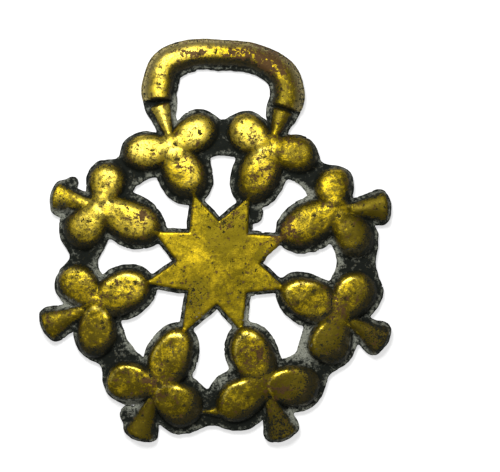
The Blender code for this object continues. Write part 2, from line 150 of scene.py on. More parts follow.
Web = namedtuple("Web", "shift extra raised")
WEBS = {
    "right_upper": Web(-0.9, 0.0, False),
    "top_right": Web(-0.9, 0.3, False),
    "top_left": Web(-0.8, 0.0, False),
    "left_upper": Web(-0.2, -0.5, False),
    "left_lower": Web(-0.4, 0.5, False),
    "bottom_left": Web(2.3, -0.3, True),
    "bottom_right": Web(0.4, 0.8, False),
    "right_lower": Web(1.0, 0.8, False),
}
# Drips of metal on the plate's edge: bearing, share of the ring's radius, and radius
FLASH = [(52.3, 0.464, 1.7), (151.2, 1.286, 1.3), (239.2, 1.366, 1.8)]
# The hanger's centre line: across and up as shares, and how far it has widened to a leg
BAR_LINE = [(-0.98, 0.0, 0.9), (-0.98, 0.25, 1.3), (-0.86, 0.69, 1.1), (-0.52, 0.92, 0.6),
            (-0.05, 0.98, 0.1), (0.51, 0.93, 0.0), (0.93, 0.65, 0.6), (1.04, 0.22, 1.3),
            (0.99, -0.05, 1.1)]

LeafForm = namedtuple("LeafForm", "name root angle reach half_width taper ledge")
StemForm = namedtuple("StemForm", "name root angle reach half_width")


def heading(degrees):
    """Unit vector at an angle counter-clockwise from +X."""
    return np.array([math.cos(math.radians(degrees)), math.sin(math.radians(degrees))])


def junction(trefoil):
    """Where a trefoil's leaves and stem meet."""
    return RING_RADIUS * trefoil.reach * heading(trefoil.bearing)


def leaf_forms():
    """The 24 leaves: root at the junction, direction, reach, half width and ledge."""
    forms = []
    for name, trefoil in TREFOILS.items():
        root = junction(trefoil)
        inner, clockwise, counter = trefoil.inner, trefoil.clockwise, trefoil.counter
        forms.append(LeafForm(name + "_inner", root, trefoil.bearing + 180 + inner.turn,
                              INNER_LENGTH * inner.length, INNER_HALF_WIDTH, 0.0,
                              INNER_LEDGE * inner.ledge))
        for side, leaf, sign in (("clockwise", clockwise, -1), ("counter", counter, 1)):
            forms.append(LeafForm(name + "_" + side, root,
                                  trefoil.bearing + sign * SIDE_ANGLE + leaf.turn,
                                  SIDE_LENGTH * leaf.length, SIDE_HALF_WIDTH, SIDE_TAPER,
                                  SIDE_LEDGE * leaf.ledge))
    return forms


def stem_forms():
    """The eight stems, one out of each trefoil."""
    return [StemForm(name, junction(trefoil), trefoil.bearing + trefoil.stem.turn,
                     STEM_LENGTH * trefoil.stem.length,
                     0.5 * STEM_END_WIDTH * trefoil.stem.width)
            for name, trefoil in TREFOILS.items()]


LEAVES = leaf_forms()
STEMS = stem_forms()


def along(form, distance):
    """A point on a form's axis, at a distance from its root."""
    return form.root + distance * heading(form.angle)


def local(form, x, y):
    """Plan coordinates along and across a form's axis."""
    ahead = heading(form.angle)
    dx, dy = x - form.root[0], y - form.root[1]
    return dx * ahead[0] + dy * ahead[1], dy * ahead[0] - dx * ahead[1]


def soft_min(a, b, width):
    """The smaller of two values, less a quarter of the width where they are equal."""
    overlap = np.maximum(width - np.abs(a - b), 0.0) / width
    return np.minimum(a, b) - 0.25 * width * overlap * overlap


def soft_max(a, b, width):
    """The larger of two values, plus a quarter of the width where they are equal."""
    return -soft_min(-a, -b, width)


def smooth(low, high, value):
    """0 below low and 1 above high, and 3t^2 - 2t^3 between them."""
    t = np.clip((value - low) / (high - low), 0.0, 1.0)
    return t * t * (3.0 - 2.0 * t)


def bell(value, middle, width):
    """A bell curve: 1 at its middle, and e to the minus square of the widths away from it."""
    return np.exp(-((value - middle) / width) ** 2)


def oval(form, x, y):
    """A leaf's oval: the distance from its middle as a share of the way to its edge."""
    u, v = local(form, x, y)
    half_length = 0.5 * (form.reach - LEAF_START)
    unit_u = (u - LEAF_START - half_length) / half_length
    unit_v = v / (form.half_width * (1 + form.taper * np.clip(unit_u, -1, 1)))
    return unit_u, unit_v, half_length


def leaf_distance(form, x, y):
    """Distance to a leaf's edge: its share less one, over the share's slope."""
    unit_u, unit_v, half_length = oval(form, x, y)
    radius = np.hypot(unit_u, unit_v) + 1e-9
    slope = np.hypot(unit_u / half_length, unit_v / form.half_width) + 1e-9
    return (radius - 1) * radius / slope


def stem_half_width(form, u):
    """Half width of a stem: its neck, plus the flare times a power of the share of its reach."""
    share = np.clip(u / form.reach, 0, 1.2)
    neck = 0.5 * STEM_NECK_WIDTH
    return neck + (form.half_width - neck) * share ** STEM_FLARE


def side_slope(form):
    """How much longer a stem's flared side is than its axis."""
    return math.hypot(1, 0.5 * STEM_FLARE * form.half_width / form.reach)


def stem_sides(form, x, y):
    """Distances to a stem's side and its convex end, and coordinates along and across it."""
    u, v = local(form, x, y)
    side = (np.abs(v) - stem_half_width(form, u)) / side_slope(form)
    end = np.hypot(u - (form.reach - STEM_END_ARC), v) - STEM_END_ARC
    return side, end, u, v


def stem_distance(form, x, y):
    """Distance to a stem's fan with its convex end, grown by a ledge at its sides and end."""
    side, end, u, _ = stem_sides(form, x, y)
    side = side - STEM_LEDGE / side_slope(form)
    return np.maximum(soft_max(side, end - STEM_END_LEDGE, PLATE_BLEND), -u)


def capsule_distance(x, y, start, end, radius_start, radius_end):
    """Distance to a straight bar with round ends."""
    ex, ey = end[0] - start[0], end[1] - start[1]
    share = ((x - start[0]) * ex + (y - start[1]) * ey) / (ex * ex + ey * ey)
    share = np.clip(share, 0, 1)
    radius = radius_start + (radius_end - radius_start) * share
    return np.hypot(x - start[0] - ex * share, y - start[1] - ey * share) - radius


def polygon_distance(x, y, corners):
    """Distance to a polygon, negative inside."""
    nearest = np.full(x.shape, 1e9)
    sign = np.ones(x.shape)
    for (ax, ay), (bx, by) in zip(corners, np.roll(corners, 1, axis=0)):
        ex, ey = bx - ax, by - ay
        wx, wy = x - ax, y - ay
        share = np.clip((wx * ex + wy * ey) / (ex * ex + ey * ey), 0, 1)
        nearest = np.minimum(nearest, (wx - ex * share) ** 2 + (wy - ey * share) ** 2)
        above, below, left = y >= ay, y < by, ex * wy > ey * wx
        sign = np.where((above & below & left) | ~(above | below | left), -sign, sign)
    return sign * np.sqrt(nearest)


def star_corners():
    """The star's outline: each tip laps its trefoil's inner leaf, with notches between."""
    corners = []
    for index, name in enumerate(TREFOILS):
        inner = next(form for form in LEAVES if form.name == name + "_inner")
        corners.append(along(inner, inner.reach - TIP_LAP))
        corners.append(NOTCH_RADIUS * heading(45 * (index + 1) + NOTCH_TURN))
    return np.array(corners)


def star_ledge(x, y):
    """The ledge round the star, thin on one side of one spoke."""
    bearing = np.degrees(np.arctan2(y, x))
    return STAR_LEDGE - THIN_LOSS * bell(bearing, THIN_BEARING, THIN_SPREAD)


def web_lines():
    """The webs: from a trefoil's counter-clockwise leaf to the next one's clockwise leaf."""
    names = list(TREFOILS)
    forms = {form.name: form for form in LEAVES}
    lines = {}
    for name, following in zip(names, names[1:] + names[:1]):
        web = WEBS[name]
        start = forms[name + "_counter"]
        end = forms[following + "_clockwise"]
        a = along(start, WEB_END_SHARE * start.reach)
        b = along(end, WEB_END_SHARE * end.reach)
        outwards = (a + b) / np.linalg.norm(a + b)
        lines[name] = (a + web.shift * outwards, b + web.shift * outwards,
                       WEB_HALF_WIDTH + web.extra)
    return lines


def leg_feet():
    """The hanger's feet: beyond the ends of the two top stems, past the grooves."""
    stems = {form.name: form for form in STEMS}
    return [along(stems[name], stems[name].reach + GROOVE)
            for name in ("top_left", "top_right")]


def bar_line(count):
    """The bar's centre line as a smooth curve through its knots, with its half widths."""
    left, right = leg_feet()
    middle, sideways = 0.5 * (left + right), 0.5 * (right - left)
    shares = np.array(BAR_LINE)
    knots = np.empty((len(shares), 3))
    knots[:, 0] = middle[0] + shares[:, 0] * sideways[0]
    knots[:, 1] = middle[1] + shares[:, 0] * sideways[1] + shares[:, 1] * HANGER_RISE
    knots[:, 2] = 0.5 * (BAR_WIDTH + (LEG_WIDTH - BAR_WIDTH) * shares[:, 2])
    padded = np.vstack([2 * knots[0] - knots[1], knots, 2 * knots[-1] - knots[-2]])
    places = np.linspace(0, len(knots) - 1, count)
    span = np.minimum(places.astype(int), len(knots) - 2)
    t = (places - span)[:, None]
    p0, p1, p2, p3 = (padded[span + step] for step in range(4))
    curve = 0.5 * (2 * p1 + (p2 - p0) * t + (2 * p0 - 5 * p1 + 4 * p2 - p3) * t ** 2
                   + (3 * p1 - p0 - 3 * p2 + p3) * t ** 3)
    return curve[:, :2], curve[:, 2]


def strap_flat():
    """Middle and height of the flat that the strap has worn under the bar."""
    points, half_widths = bar_line(BAR_POINTS)
    top = int(np.argmax(points[:, 1] - half_widths))
    return points[top, 0], points[top, 1] - half_widths[top] + STRAP_FLAT_DEPTH


def plate_distance(x, y):
    """Distance to the plate's pierced outline: everything below joined with fillets."""
    distance = np.full(x.shape, 1e3)
    for form in LEAVES:
        distance = soft_min(distance, leaf_distance(form, x, y) - form.ledge, PLATE_BLEND)
    for start, end, radius in web_lines().values():
        web = capsule_distance(x, y, start, end, radius, radius)
        distance = soft_min(distance, web, WEB_BLEND)
    for bearing, reach, radius in FLASH:
        centre = RING_RADIUS * reach * heading(bearing)
        blob = np.hypot(x - centre[0], y - centre[1]) - radius
        distance = soft_min(distance, blob, PLATE_BLEND)
    star = polygon_distance(x, y, star_corners()) - star_ledge(x, y)
    distance = soft_min(distance, star, STAR_BLEND)
    for form in STEMS:
        distance = soft_min(distance, stem_distance(form, x, y), PLATE_BLEND)
    points, half_widths = bar_line(BAR_POINTS)
    bar = np.full(x.shape, 1e3)
    for index in range(len(points) - 1):
        piece = capsule_distance(x, y, points[index], points[index + 1],
                                 half_widths[index], half_widths[index + 1])
        bar = np.minimum(bar, piece)
    distance = soft_min(distance, bar, PLATE_BLEND)
    flat_x, flat_y = strap_flat()
    worn = np.maximum(np.abs(x - flat_x) - 0.5 * STRAP_FLAT_LENGTH,
                      np.abs(y - flat_y + 0.5 * BAR_WIDTH) - 0.5 * BAR_WIDTH)
    return np.maximum(distance, -worn)


# The casting's low relief. A crown falls off a little towards its shoulder, and then by a high
# power of the way there, which is higher on the flatter leaves low on the badge
CROWN_CURVE = 0.22
CROWN_SHOULDER = 6.0
SQUARE_SHOULDER = 7.0
# Height of the swell's foot, how steeply a form's skirt runs down from it into the plate, and
# the height under everything, which the first form is joined to
FOOT = PLATE_THICKNESS + FLANK
SKIRT = 6.0
BELOW = -5.0
# Widths of the fillets where forms meet
FILLET = 0.35
JUNCTION_FILLET = 0.9
NECK_FILLET = 0.4
BAR_FILLET = 0.25
GRIT_FILLET = 0.5
# A leaf's tip side as a share of its root side, and its flank as a share of its ledge, with the
# least and the most that it may be
LEAF_BACK = 0.86
LEAF_FLANK = 0.45
LEAST_FLANK = 0.4
MOST_FLANK = 0.9
# A stem of a smaller half width carries the hanger, and its neck is drawn in to a wedge. How far
# a stem's swell runs past its sides, and how far in from its end it is rounded off
HANGER_STEM = 3.0
STEM_SWELL = 0.15
STEM_ROUND = 0.9
# The necks between the star's tips and the leaves: half width, and start and end past a leaf
NECK_HALF_WIDTH = 1.1
NECK_START = -2.2
NECK_END = 0.3
# How far in from the star's edge the wear there has died away to a third
EDGE_WEAR = 0.16
# The brightest place, at the badge's top left, and how far from it the brass is dullest. The
# # brass grows duller and darker with the distance, partly duller brass and partly a painted
# # falloff of the light
BRIGHTEST_PLACE = (-14.0, 29.0)
DULL_REACH = 62.0
# The place that the lit side of each form faces, for painted light and shade, how it moves for
# forms low on the badge, and how far the bright area of a form is shifted to that side, which
# leaves painted shade on the far side
LIT_SIDE = np.array([-10.0, 40.0])
LOWER_SIDE = np.array([-30.0, -20.0])
SHADE_SHIFT = 0.17
# Size of the noise that bends the leaves
WARP_SIZE = 4.6


def lattice(i, j, seed):
    """A repeatable number from 0 to 1 for each whole-number place, by mixing its bits."""
    i, j = i.astype(np.uint64), j.astype(np.uint64)
    mixed = i * np.uint64(374761393) + j * np.uint64(668265263) + np.uint64(seed * 982451653)
    mixed = (mixed ^ (mixed >> np.uint64(13))) * np.uint64(1274126177)
    return ((mixed ^ (mixed >> np.uint64(16))) & np.uint64(0xFFFF)).astype(float) / 65535.0


def grain(x, y, size, seed):
    """Smooth noise from -1 to 1: lattice numbers blended over cells of a size."""
    u, v = x / size + 500.0, y / size + 500.0
    i, j = np.floor(u), np.floor(v)
    a, b = u - i, v - j
    a, b = a * a * (3 - 2 * a), b * b * (3 - 2 * b)
    low = lattice(i, j, seed) * (1 - a) + lattice(i + 1, j, seed) * a
    high = lattice(i, j + 1, seed) * (1 - a) + lattice(i + 1, j + 1, seed) * a
    return 2.0 * (low * (1 - b) + high * b) - 1.0


def dome(share, height, squareness=0.0):
    """A pillow over an oval: its foot, plus the rise times one less a little of the square and
    the rest of a high power of the share of the way to its foot, and steep beyond the foot."""
    held = np.minimum(share, 1.0)
    curve = CROWN_CURVE * (1 - 0.5 * squareness)
    shoulder = CROWN_SHOULDER + SQUARE_SHOULDER * squareness
    inside = 1 - curve * held ** 2 - (1 - curve) * held ** shoulder
    rise = (height - PLATE_THICKNESS) * inside
    return PLATE_THICKNESS + rise - SKIRT * np.maximum(share - 1, 0.0)


def leaf_growth(form):
    """The foot of a leaf's flank over the leaf itself, as a ratio of their half widths."""
    return 1 + np.clip(LEAF_FLANK * form.ledge, LEAST_FLANK, MOST_FLANK) / form.half_width


def leaf_share(form, x, y):
    """How far a point lies from a leaf's middle to the foot of its flank. The leaf reaches back
    over the junction, so that a trefoil's leaves run together there."""
    unit_u, unit_v, _ = oval(form, x, y)
    behind = np.where(unit_u < 0, LEAF_BACK, 1.0)
    return np.hypot(unit_u * behind, unit_v) / leaf_growth(form)


def ahead_share(x, y, middle, ahead, reach):
    """How far places lie from a middle in a direction, as a share of a reach."""
    towards = (x - middle[0]) * ahead[0] + (y - middle[1]) * ahead[1]
    return np.clip(towards / reach, -1.2, 1.2)


def facing(x, y, middle, reach):
    """How far places lie from a form's middle towards the lit side, as a share of a reach. The
    painted highlights and shade follow it.
    """
    ahead = LIT_SIDE + LOWER_SIDE * smooth(0.0, 20.0, -middle[1]) - middle
    return ahead_share(x, y, middle, ahead / np.linalg.norm(ahead), reach)


def shade_and_rub_shift(form, x, y, middle, square, towards):
    """How far a leaf's rubbed part is shifted to its lit side, more so at the lower right, which
    paints shade on its far side. Side leaves at the top left are rubbed mostly towards their
    trefoil's middle instead."""
    shaded = 1.1 * smooth(-5.0, 30.0, middle[0]) * smooth(-25.0, 5.0, -middle[1])
    shaded = shaded + smooth(15.0, 31.0, middle[0]) * smooth(-32.0, -5.0, -middle[1])
    shift = SHADE_SHIFT * (1.17 + 0.95 * square + shaded)
    if form.taper:
        near = smooth(-5.0, 15.0, middle[1]) * (1 - smooth(-15.0, 5.0, middle[0]))
        rootwards = ahead_share(x, y, middle, -heading(form.angle), form.half_width)
        towards = towards + 0.75 * near * (rootwards - towards)
    return shift * towards


def bar_section(x, y):
    """Where a point lies on the hanger: across its rounded section from -1 at the slot to 1
    outside, and how far before its start or past its end it is."""
    points, half_widths = bar_line(BAR_POINTS)
    nearest = np.full(x.shape, 1e9)
    across = np.full(x.shape, 9.0)
    beyond = np.full(x.shape, 9.0)
    last = len(points) - 2
    for index in range(last + 1):
        start, run = points[index], points[index + 1] - points[index]
        length = math.hypot(*run)
        ahead = run / length
        dx, dy = x - start[0], y - start[1]
        u = dx * ahead[0] + dy * ahead[1]
        v = dy * ahead[0] - dx * ahead[1]
        held = np.clip(u, 0, length)
        away = np.hypot(u - held, v)
        half = half_widths[index] + (half_widths[index + 1] - half_widths[index]) * held / length
        better = away < nearest
        nearest = np.where(better, away, nearest)
        across = np.where(better, (v - BAR_OFFSET) / (half - BAR_LEDGE), across)
        past = np.zeros(x.shape)
        if index == 0:
            past = np.maximum(-u, 0.0)
        if index == last:
            past = np.maximum(u - length, 0.0)
        beyond = np.where(better, past, beyond)
    return across, beyond


def rounded(share, fullness):
    """A rounded section: one less a power of the share, to one over that power."""
    return np.maximum(1 - np.abs(share) ** fullness, 0.0) ** (1 / fullness)


class Relief:
    """The badge's height over its plan and what rubbing has done to it, form by form, with painted
    light and shade. The polish is 1 on crowns and 0 at the foot of each form, shifted to leave
    painted shade on the sides away from the light, and the painted edge highlight is 1 along the
    brightest edges."""

    def __init__(self, x, y, shape):
        self.x, self.y, self.shape = x, y, shape
        self.bent_x = x + shape.warp * grain(x, y, WARP_SIZE, 41)
        self.bent_y = y + shape.warp * grain(x, y, WARP_SIZE, 42)
        self.uneven = shape.unevenness * (grain(x, y, 4.1, 11) + 0.4 * grain(x, y, 1.6, 12))
        self.height = np.full(x.shape, BELOW)
        self.polish, self.worn_line, self.neck = (np.zeros(x.shape) for _ in range(3))

    def join(self, height, fillet=FILLET):
        """Keeps the larger height, with a fillet where the two meet."""
        self.height = soft_max(self.height, height, fillet)

    def rub(self, share):
        """Raises the polish, which later carries painted shade, to a share."""
        self.polish = np.maximum(self.polish, share)

    def wear(self, share):
        """Raises the painted edge highlight to a share."""
        self.worn_line = np.maximum(self.worn_line, share)


def add_leaves(relief):
    """A dome over each leaf, rubbed from its crown nearly to its foot, shifted to the lit side to
    paint shade on the far side. A highlight is painted just inside its edge on the lit side, most
    of all on the flatter leaves."""
    for form in LEAVES:
        share = leaf_share(form, relief.bent_x, relief.bent_y)
        middle = along(form, 0.5 * form.reach)
        square = smooth(-12.0, 20.0, -middle[1])
        relief.join(dome(share, relief.shape.leaf_height, square))
        towards = facing(relief.x, relief.y, middle, form.half_width)
        inner = share * leaf_growth(form)
        shift = shade_and_rub_shift(form, relief.x, relief.y, middle, square, towards)
        relief.rub((1 - smooth(0.72, 1.2, inner - shift)) * (1 - smooth(0.92, 1.0, share)))
        relief.wear(bell(inner, 0.88, 0.07) * smooth(0.25, 0.75, towards)
                    * (0.35 + 0.65 * square))


def add_junctions(relief):
    """A round boss where each trefoil's leaves meet, broader and higher up the badge."""
    for trefoil in TREFOILS.values():
        centre = junction(trefoil)
        merged = smooth(-8.0, 14.0, centre[1])
        size = (1.15 + 0.35 * merged) * JUNCTION_RADIUS
        share = np.hypot(relief.bent_x - centre[0], relief.bent_y - centre[1]) / size
        relief.join(dome(share, JUNCTION_HEIGHT + 0.2 + 0.2 * merged), JUNCTION_FILLET)
        relief.rub(1 - smooth(0.6, 0.95, share))


def add_stems(relief):
    """A half-round section across each stem's fan, rounded off at its end, rubbed along its
    middle, with a highlight painted inside its side towards the light."""
    for form in STEMS:
        side, end, u, v = stem_sides(form, relief.x, relief.y)
        wedge = smooth(0.0, 0.7 * form.reach, u) if form.half_width < HANGER_STEM else 1.0
        across = v / (stem_half_width(form, u) + STEM_SWELL - 0.6 * (1 - wedge))
        tip = rounded(1 - np.clip(-end / STEM_ROUND, 0, 1), 2.0)
        stem = FOOT + (STEM_HEIGHT - FOOT) * rounded(np.clip(across, -1, 1), 2.0) * tip
        out = np.maximum(np.maximum(side - STEM_SWELL, end), -u)
        relief.join(stem - SKIRT * np.maximum(out, 0.0))
        relief.rub((1 - smooth(0.55, 0.95, np.abs(across))) * smooth(0.0, 0.6, -end) * (u > 0))
        towards = facing(relief.x, relief.y, along(form, 0.6 * form.reach), form.half_width)
        relief.wear(bell(side, -0.55, 0.22) * (end < -0.2) * smooth(0.0, 0.3, u / form.reach)
                    * smooth(0.1, 0.6, towards))


def add_raised_webs(relief):
    """A ridge along each raised web, which widens from one end to the other."""
    lines = web_lines()
    for start, end, radius in (lines[name] for name, web in WEBS.items() if web.raised):
        ridge = capsule_distance(relief.x, relief.y, 0.7 * start + 0.3 * end,
                                 0.2 * start + 0.8 * end, 0.3, radius - WEB_LEDGE)
        share = np.maximum(1 + ridge / (radius - WEB_LEDGE), 0.0)
        relief.join(dome(share, WEB_HEIGHT + 0.3))
        relief.rub(1 - smooth(0.5, 1.0, share))


def add_bar(relief):
    """The hanger's full rounded section, whose crown leans to the slot on its legs and its
    right side. It is rubbed to the same side, its flank by the slot is left dark as painted shade,
    and its outer side keeps its dust."""
    across, beyond = bar_section(relief.x, relief.y)
    on_bar = beyond < 0.1
    inward = np.maximum(smooth(0.0, 4.0, 41.0 - relief.y), smooth(5.0, 11.0, relief.x))
    crown = across + 0.2 * inward * np.maximum(1 - across ** 2, 0.0)
    bar = FOOT + (BAR_HEIGHT - FOOT) * rounded(np.clip(crown, -1, 1), FULLNESS)
    relief.join(bar - SKIRT * (3.0 * np.maximum(np.abs(across) - 1, 0.0) + beyond), BAR_FILLET)
    # The polish stops short of the slot: the dark flank there is painted shade
    worn = np.where(across < 0, 1 - smooth(0.3, 0.72, -across - 0.24 * inward),
                    1 - smooth(1.15, 1.5, across))
    relief.rub(worn * on_bar)
    relief.outer = smooth(0.25, 0.75, across) * (np.abs(across) < 1.8) * on_bar


def add_necks(relief):
    """A low ridge from each inner leaf to the star's tip, which tapers towards the star."""
    for form in LEAVES[::3]:
        ridge = capsule_distance(relief.bent_x, relief.bent_y,
                                 along(form, form.reach + NECK_START),
                                 along(form, form.reach + NECK_END),
                                 1.5 * NECK_HALF_WIDTH, 0.5 * NECK_HALF_WIDTH)
        share = np.clip(1 + ridge / NECK_HALF_WIDTH, 0.0, 3.0)
        relief.join(dome(share, STAR_HEIGHT - 0.1), NECK_FILLET)
        relief.neck = np.maximum(relief.neck, 1 - smooth(0.5, 1.05, share))


def add_star(relief):
    """The star's flat block, its edge worn down by an exponential of the distance to it."""
    star = polygon_distance(relief.x, relief.y, star_corners())
    slab = STAR_HEIGHT + 0.3 * relief.uneven - relief.shape.edge_round * np.exp(star / EDGE_WEAR)
    relief.height = np.maximum(relief.height, slab - SKIRT * np.maximum(star, 0.0))
    relief.on_star = smooth(-0.02, 0.1, -star)
    relief.rub(relief.on_star)


def casting(x, y, shape):
    """The whole face: the largest of all the forms' heights and the gritty plate's, with small
    fillets between them, plus the hand-worked unevenness of what stands above the plate."""
    relief = Relief(x, y, shape)
    for add in (add_leaves, add_junctions, add_stems, add_raised_webs, add_bar, add_necks,
                add_star):
        add(relief)
    grit = shape.grit * (0.6 * grain(x, y, 1.0, 13) + 0.5 * grain(x, y, 0.5, 14))
    relief.join(PLATE_THICKNESS + grit, GRIT_FILLET)
    raised = smooth(0.1, 0.6, relief.height - PLATE_THICKNESS)
    relief.height = relief.height + relief.uneven * raised * (1 - 0.7 * relief.on_star)
    return relief


def blur(values, radius):
    """The mean over a square of cells, taken along rows and then along columns."""
    width = 2 * radius + 1
    for axis in (0, 1):
        padded = np.concatenate([np.repeat(values.take([0], axis), radius + 1, axis), values,
                                 np.repeat(values.take([-1], axis), radius, axis)], axis)
        total = np.cumsum(padded, axis)
        size = total.shape[axis]
        ahead = total.take(range(width, size), axis)
        behind = total.take(range(0, size - width), axis)
        values = (ahead - behind) / width
    return values


def outline_distance(x, y, shape):
    """Distance to the casting's own rough outline: the plate's, waved by noise, less the
    rounded rim."""
    wave = shape.edge_wave * (0.8 * grain(x, y, 3.1, 21) + 0.5 * grain(x, y, 1.2, 22)
                              + 0.18 * grain(x, y, 0.6, 23))
    calm = smooth(10.0, 12.5, np.hypot(x - 0.8, y - 34.5)) * smooth(30.0, 33.0, y)
    return plate_distance(x, y) + wave * (1 - 0.8 * calm) + shape.rim


def outwards(x, y, reach=0.2):
    """Unit vectors away from the plate's metal: the slope of the distance to its outline."""
    out = np.stack([plate_distance(x + reach, y) - plate_distance(x - reach, y),
                    plate_distance(x, y + reach) - plate_distance(x, y - reach)], -1)
    return out / (np.linalg.norm(out, axis=1)[:, None] + 1e-9)


def slopes(values, step):
    """How fast values rise along x and along y."""
    return np.gradient(values, step, axis=0), np.gradient(values, step, axis=1)


def snap(x, y, distance, step):
    """Moves the grid's points that lie within half a step of a line onto it, along the axis
    that crosses it more squarely. Returns the new places and which points were moved."""
    gx, gy = slopes(distance, step)
    size = np.hypot(gx, gy) + 1e-9
    gx, gy = gx / size, gy / size
    sideways = np.abs(gx) > np.abs(gy)
    main = np.where(sideways, gx, gy)
    main = np.where(np.abs(main) < 0.3, 0.3, main)
    shift = -distance / main
    near = np.abs(shift) < 0.5 * step
    return (np.where(near & sideways, x + shift, x), np.where(near & ~sideways, y + shift, y),
            near)


def split_cells(snapped):
    """Two triangles for each cell of the grid, cut along the diagonal whose ends both lie on
    a line, as corner numbers."""
    rows, columns = snapped.shape
    number = np.arange(rows * columns).reshape(rows, columns)
    a, b, c, d = number[:-1, :-1], number[1:, :-1], number[1:, 1:], number[:-1, 1:]
    rising = snapped[:-1, :-1] & snapped[1:, 1:]
    falling = snapped[1:, :-1] & snapped[:-1, 1:]
    checker = (np.add.outer(np.arange(rows - 1), np.arange(columns - 1)) % 2) == 0
    use = np.where(rising == falling, checker, rising)[..., None]
    first = np.where(use, np.stack([a, b, c], -1), np.stack([a, b, d], -1))
    second = np.where(use, np.stack([a, c, d], -1), np.stack([b, c, d], -1))
    return np.concatenate([first.reshape(-1, 3), second.reshape(-1, 3)])


def border(faces):
    """The edges that only one face has, in that face's direction."""
    edges = np.concatenate([faces[:, [0, 1]], faces[:, [1, 2]], faces[:, [2, 0]]])
    key = np.sort(edges, axis=1)
    _, where, count = np.unique(key, axis=0, return_inverse=True, return_counts=True)
    return edges[count[where.ravel()] == 1]


def within(places, starts, ends):
    """Whether places lie inside an outline: an odd number of its edges pass on their right."""
    odd = np.zeros(len(places), bool)
    for part in np.array_split(np.arange(len(places)), 40):
        px, py = places[part, :1], places[part, 1:]
        ax, ay, bx, by = starts[:, 0], starts[:, 1], ends[:, 0], ends[:, 1]
        crosses = (ay > py) != (by > py)
        rise = np.where(by == ay, 1.0, by - ay)
        meets = ax + (py - ay) * (bx - ax) / rise
        odd[part] = (crosses & (meets > px)).sum(axis=1) % 2 == 1
    return odd


# The rim's profile: how far out a row lies as a share of the rim's width, and its height as
# a share of the height at the top edge
RIM_PROFILE = [(0.45, 0.985), (0.85, 0.9), (1.0, 0.72), (1.02, 0.4), (0.85, 0.12), (0.0, 0.0)]
RIM_ROUGHNESS = 0.05
# How much grit the wall and the back hold
WALL_GRIT = 0.45
# Spacing of the points inside the back, and how far from its outline they stay
BACK_STEP = 1.2
BACK_MARGIN = 0.8


def plan_grid(step, margin):
    """Points a step apart over the solid's box and a margin round it."""
    low = np.array(CAD_LOW[:2]) / MM - margin
    high = np.array(CAD_HIGH[:2]) / MM + margin
    return np.meshgrid(np.arange(low[0], high[0], step), np.arange(low[1], high[1], step),
                       indexing="ij")


def finish_values(relief, edge, star, step):
    """What the finish reads at each point of the face. Rubbing misses hollows and steep places.
    Sides that face away from the light are painted darker as shade, more so further from the
    brightest place. A highlight is painted along the star's edge where it faces up and to the left."""
    sx, sy = slopes(star, step)
    # Painted highlight along the star's edge where it faces the light
    relief.wear(bell(star, -0.2, 0.13) * smooth(0.1, 0.7, 0.8 * sy - 0.6 * sx))
    hollow = blur(relief.height, max(1, round(0.7 / step))) - relief.height
    gx, gy = slopes(relief.height, step)
    far_x, far_y = relief.x - LIT_SIDE[0], relief.y - LIT_SIDE[1]
    # away: how far each slope faces away from the light, where shade is painted
    away = blur(-(gx * far_x + gy * far_y) / (np.hypot(far_x, far_y) + 1e-9), 1)
    far = smooth(20.0, 55.0, np.hypot(relief.x - BRIGHTEST_PLACE[0], relief.y - BRIGHTEST_PLACE[1]))
    steep = np.hypot(blur(gx, 1), blur(gy, 1)) * (1 - relief.outer)
    polish = relief.polish * (1 - 0.9 * smooth(0.06, 0.35, hollow))
    # Painted shade: the polish is cut on slopes facing away from the light, more so far from the
    # brightest place
    polish = polish * (1 - (0.36 + 0.54 * far) * smooth(0.35 - 0.1 * far, 1.0, away))
    polish = polish * (1 - 0.6 * smooth(0.95, 1.8, steep))
    # The flanks' dark brass gives way to patina on the sides away from the light, as painted shade
    flank = smooth(0.3, 1.5, relief.height - PLATE_THICKNESS) * (1 - relief.on_star)
    return {
        "polish": np.maximum(np.maximum(polish, 0.7 * relief.neck), relief.on_star),
        "star": relief.on_star,
        "outer": relief.outer,
        "flank": flank * (1 - (0.35 + 0.3 * far) * smooth(0.2, 1.0, away)),
        "edge": smooth(-1.1, 0.0, edge),
        "worn_line": relief.worn_line,
    }


def face_mesh(shape):
    """The face: the height over a grid, whose points near the outline and the star's edge are
    moved onto them. Returns its points, its triangles and its values."""
    step = shape.grid_step
    x, y = plan_grid(step, 3 * step)
    star = polygon_distance(x, y, star_corners())
    x, y, on_star_line = snap(x, y, star, step)
    edge = outline_distance(x, y, shape)
    edge_x, edge_y, on_edge = snap(x, y, edge, step)
    keep = on_star_line & (edge < -1.5 * step)
    x, y = np.where(keep, x, edge_x), np.where(keep, y, edge_y)
    relief = casting(x, y, shape)
    values = finish_values(relief, edge, star, step)

    faces = split_cells(on_edge | keep)
    faces = faces[((edge < 0) | on_edge).ravel()[faces].all(axis=1)]
    outside = on_edge.ravel()[faces].all(axis=1) & (edge.ravel()[faces].mean(axis=1) > 0)
    faces = faces[~outside]
    used = np.unique(faces)
    renumber = np.full(x.size, -1)
    renumber[used] = np.arange(len(used))
    points = np.stack([x.ravel(), y.ravel(), relief.height.ravel()], -1)[used]
    return points, renumber[faces], {name: value.ravel()[used] for name, value in values.items()}


def wall_mesh(face, values, starts, ends, rim, shape):
    """The wall: the rim's profile carried along the outline, slightly rough. The values fade
    with the cube of the height. Returns its rows of points, its triangles and its values."""
    out = outwards(face[rim, 0], face[rim, 1])
    rows, faces, previous = [], [], rim
    carried = {name: [] for name in values}
    for number, (offset, level) in enumerate(RIM_PROFILE):
        rough = RIM_ROUGHNESS * grain(face[rim, 0], face[rim, 1] + 7 * level, 0.8, 31)
        reach = (shape.rim + rough) * offset
        rows.append(np.column_stack([face[rim, :2] + out * reach[:, None],
                                     face[rim, 2] * level]))
        for name, value in values.items():
            carried[name].append(value[rim] * level ** 3)
        current = len(face) + number * len(rim) + np.arange(len(rim))
        faces.append(np.stack([previous[starts], current[starts], current[ends]], -1))
        faces.append(np.stack([previous[starts], current[ends], previous[ends]], -1))
        previous = current
    return rows, faces, carried


